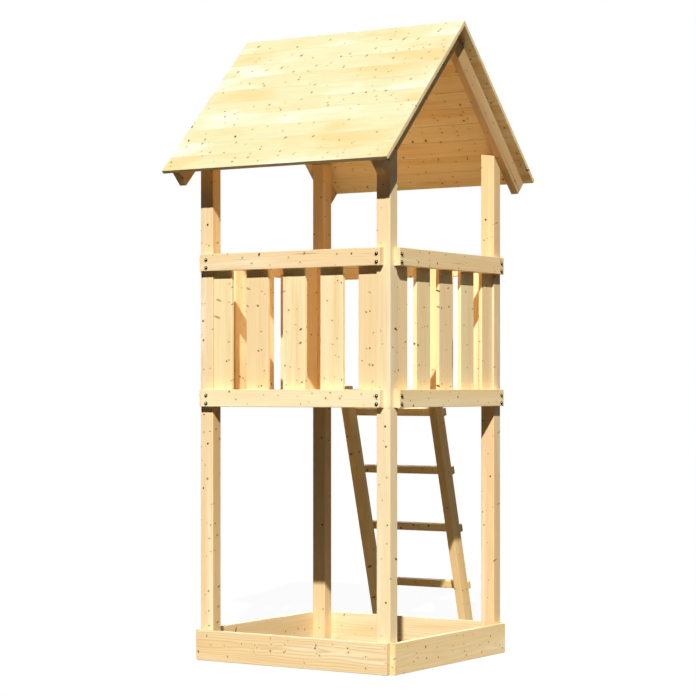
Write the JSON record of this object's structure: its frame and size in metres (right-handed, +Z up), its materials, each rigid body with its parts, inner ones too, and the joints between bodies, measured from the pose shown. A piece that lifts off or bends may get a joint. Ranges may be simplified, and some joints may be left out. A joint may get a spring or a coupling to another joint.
{
  "type": "play tower",
  "caption": "Timber play tower for a garden: open sandpit frame, slatted platform with a ladder entrance and a pitched board roof with open gables.",
  "frame": {"origin": "on the ground, under the middle of the outline: halfway between the front eaves and the ladder feet", "axes": "+X to the right of the front, +Y from the front to the ladder side, +Z up"},
  "size_m": [1.205, 1.6238, 2.914],
  "materials": {
    "post_timber": "matt",
    "sandpit_timber": "matt",
    "rail_timber": "matt",
    "slat_timber": "matt",
    "floor_timber": "matt",
    "ladder_timber": "matt",
    "roof_timber": "matt",
    "rafter_timber": "matt"
  },
  "bodies": {
    "root": {"post_front_left": "post_timber", "post_front_right": "post_timber", "post_back_left": "post_timber", "post_back_right": "post_timber", "sandpit_board_front": "sandpit_timber", "sandpit_board_back": "sandpit_timber", "sandpit_board_left": "sandpit_timber", "sandpit_board_right": "sandpit_timber", "upper_rail_front": "rail_timber", "upper_rail_back": "rail_timber", "upper_rail_left": "rail_timber", "upper_rail_right": "rail_timber", "lower_rail_front": "rail_timber", "lower_rail_back": "rail_timber", "lower_rail_left": "rail_timber", "lower_rail_right": "rail_timber", "slats_front": "slat_timber", "slats_back": "slat_timber", "slats_left": "slat_timber", "slats_right": "slat_timber", "floor_boards": "floor_timber", "floor_joists": "floor_timber", "ladder_stile_left": "ladder_timber", "ladder_stile_right": "ladder_timber", "ladder_rungs": "ladder_timber", "roof_boards_front": "roof_timber", "roof_boards_back": "roof_timber", "rafter_front_left": "rafter_timber", "rafter_front_right": "rafter_timber", "rafter_back_left": "rafter_timber", "rafter_back_right": "rafter_timber"}
  },
  "joints": []
}
